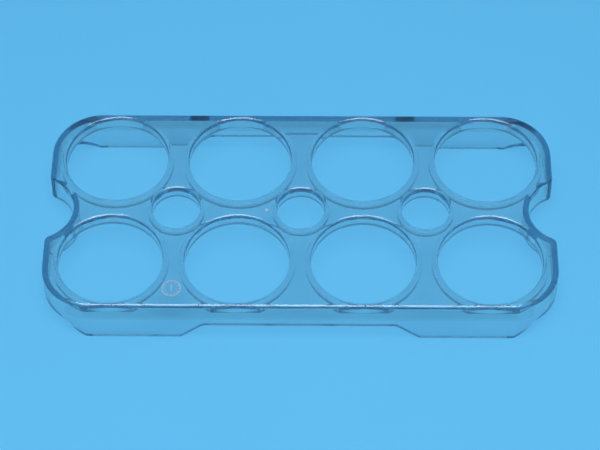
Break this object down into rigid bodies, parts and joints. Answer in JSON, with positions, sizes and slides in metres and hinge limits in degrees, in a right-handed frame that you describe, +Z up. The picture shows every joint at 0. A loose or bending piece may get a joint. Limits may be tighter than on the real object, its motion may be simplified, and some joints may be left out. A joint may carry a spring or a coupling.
{
  "type": "clear plastic egg rack",
  "caption": "Clear moulded rack: a flat deck with round holes that hold eggs over a low skirt with feet, and a finger scoop in each end.",
  "frame": {"origin": "centre of the rack in plan, on the plane that its feet stand on", "axes": "+X along the long sides, +Y across the rack towards the back of the picture, +Z up out of the deck"},
  "size_m": [0.204, 0.098, 0.02],
  "materials": {
    "clear_plastic": "clear, glossy"
  },
  "bodies": {
    "root": {"egg_rack": "clear_plastic"}
  },
  "joints": []
}
